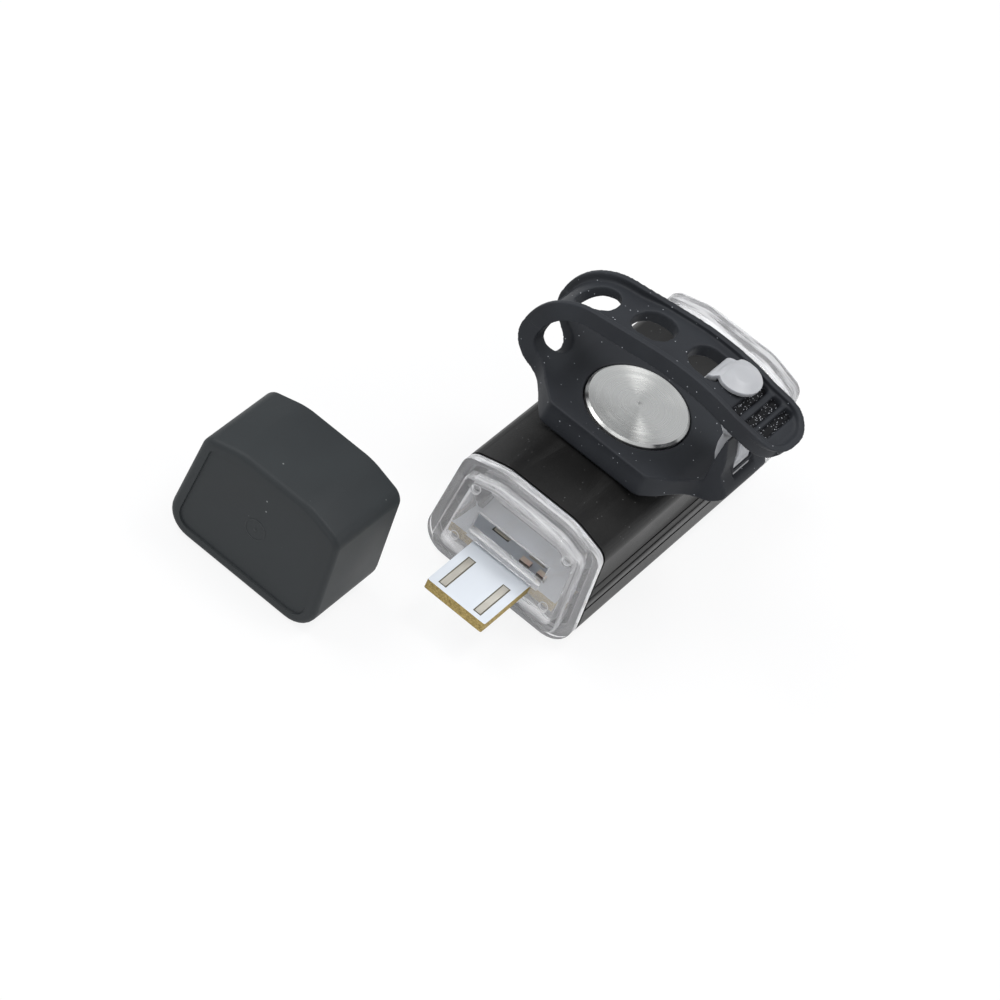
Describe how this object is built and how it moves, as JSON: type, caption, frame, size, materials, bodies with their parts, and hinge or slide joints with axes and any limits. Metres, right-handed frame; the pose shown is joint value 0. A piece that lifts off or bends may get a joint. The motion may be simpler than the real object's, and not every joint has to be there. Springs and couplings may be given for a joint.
{
  "type": "bike light",
  "caption": "Rechargeable bicycle light: extruded case with clear ends, bare board USB plug, loose plug cap and a swivelling rubber hook strap for a handlebar.",
  "frame": {"origin": "centre of the case's flat resting face", "axes": "+Y is the beam, from the plug end to the front lens; +Z points from the flat face to the strap; +X is the side of the strap's hook"},
  "size_m": [0.0703, 0.0968, 0.0475],
  "materials": {
    "black_aluminium": "fine bead-blasted black anodising",
    "turned_aluminium": "bare, face-turned",
    "plain_aluminium": "bare, milled",
    "clear_plastic": "clear, polished",
    "mirror_plastic": "vacuum-metallised",
    "black_rubber": "matt moulded",
    "cap_rubber": "matt moulded",
    "grey_rubber": "matt",
    "milky_plastic": "translucent, smooth",
    "white_board": "white solder resist on tan glass-epoxy",
    "contact_metal": "gold-flashed, satin",
    "chip_black": "moulded",
    "lamp_orange": "tinted",
    "emitter_yellow": "silicone over phosphor",
    "steel": "zinc-plated",
    "nickel": "nickel strip",
    "cell_wrap": "foil wrap",
    "foam": "foam",
    "lead_cover": "insulated",
    "switch_black": "moulded",
    "button_rubber": "matt moulded"
  },
  "bodies": {
    "case": {"body_shell": "black_aluminium", "rear_end_lens": "clear_plastic", "rear_seal": "grey_rubber", "front_lens": "clear_plastic", "front_seal": "grey_rubber", "front_reflector": "mirror_plastic", "led_board": "plain_aluminium", "led_emitter": "emitter_yellow", "heat_spreader": "plain_aluminium", "main_board": "white_board", "plug_contacts": "contact_metal", "charge_leds": "lamp_orange", "board_chips": "chip_black", "tactile_switch": "switch_black", "battery_cell": "cell_wrap", "battery_pad": "foam", "battery_tabs": "nickel", "led_leads": "lead_cover", "pivot_screw": "turned_aluminium", "pivot_bushing": "steel", "pivot_washer": "steel", "pivot_nut": "steel"},
    "swivel": {"strap_saddle": "black_rubber", "strap_hook": "milky_plastic"},
    "band": {"strap_band": "black_rubber"},
    "button": {"switch_button": "button_rubber", "switch_plunger": "switch_black"},
    "cap": {"usb_cap": "cap_rubber"}
  },
  "joints": [
    {"name": "strap_swivel", "type": "hinge", "parent": "case", "child": "swivel", "pos_m": [0, -0.0051, 0.026], "axis": [0, 0, 1], "continuous": true},
    {"name": "strap_open", "type": "hinge", "parent": "swivel", "child": "band", "pos_m": [-0.0222, -0.0051, 0.034], "axis": [0, -1, 0], "range_deg": [0, 75], "deforming": ["strap_hook"]},
    {"name": "switch_press", "type": "slide", "parent": "case", "child": "button", "axis": [0, 0, 1], "range_m": [0, 0.0005], "stiffness_N_per_m": 400, "springref_m": -0.0005},
    {"name": "cap_lift", "type": "slide", "parent": "case", "child": "cap", "axis": [0, 0, 1], "range_m": [0, 0.04]}
  ]
}
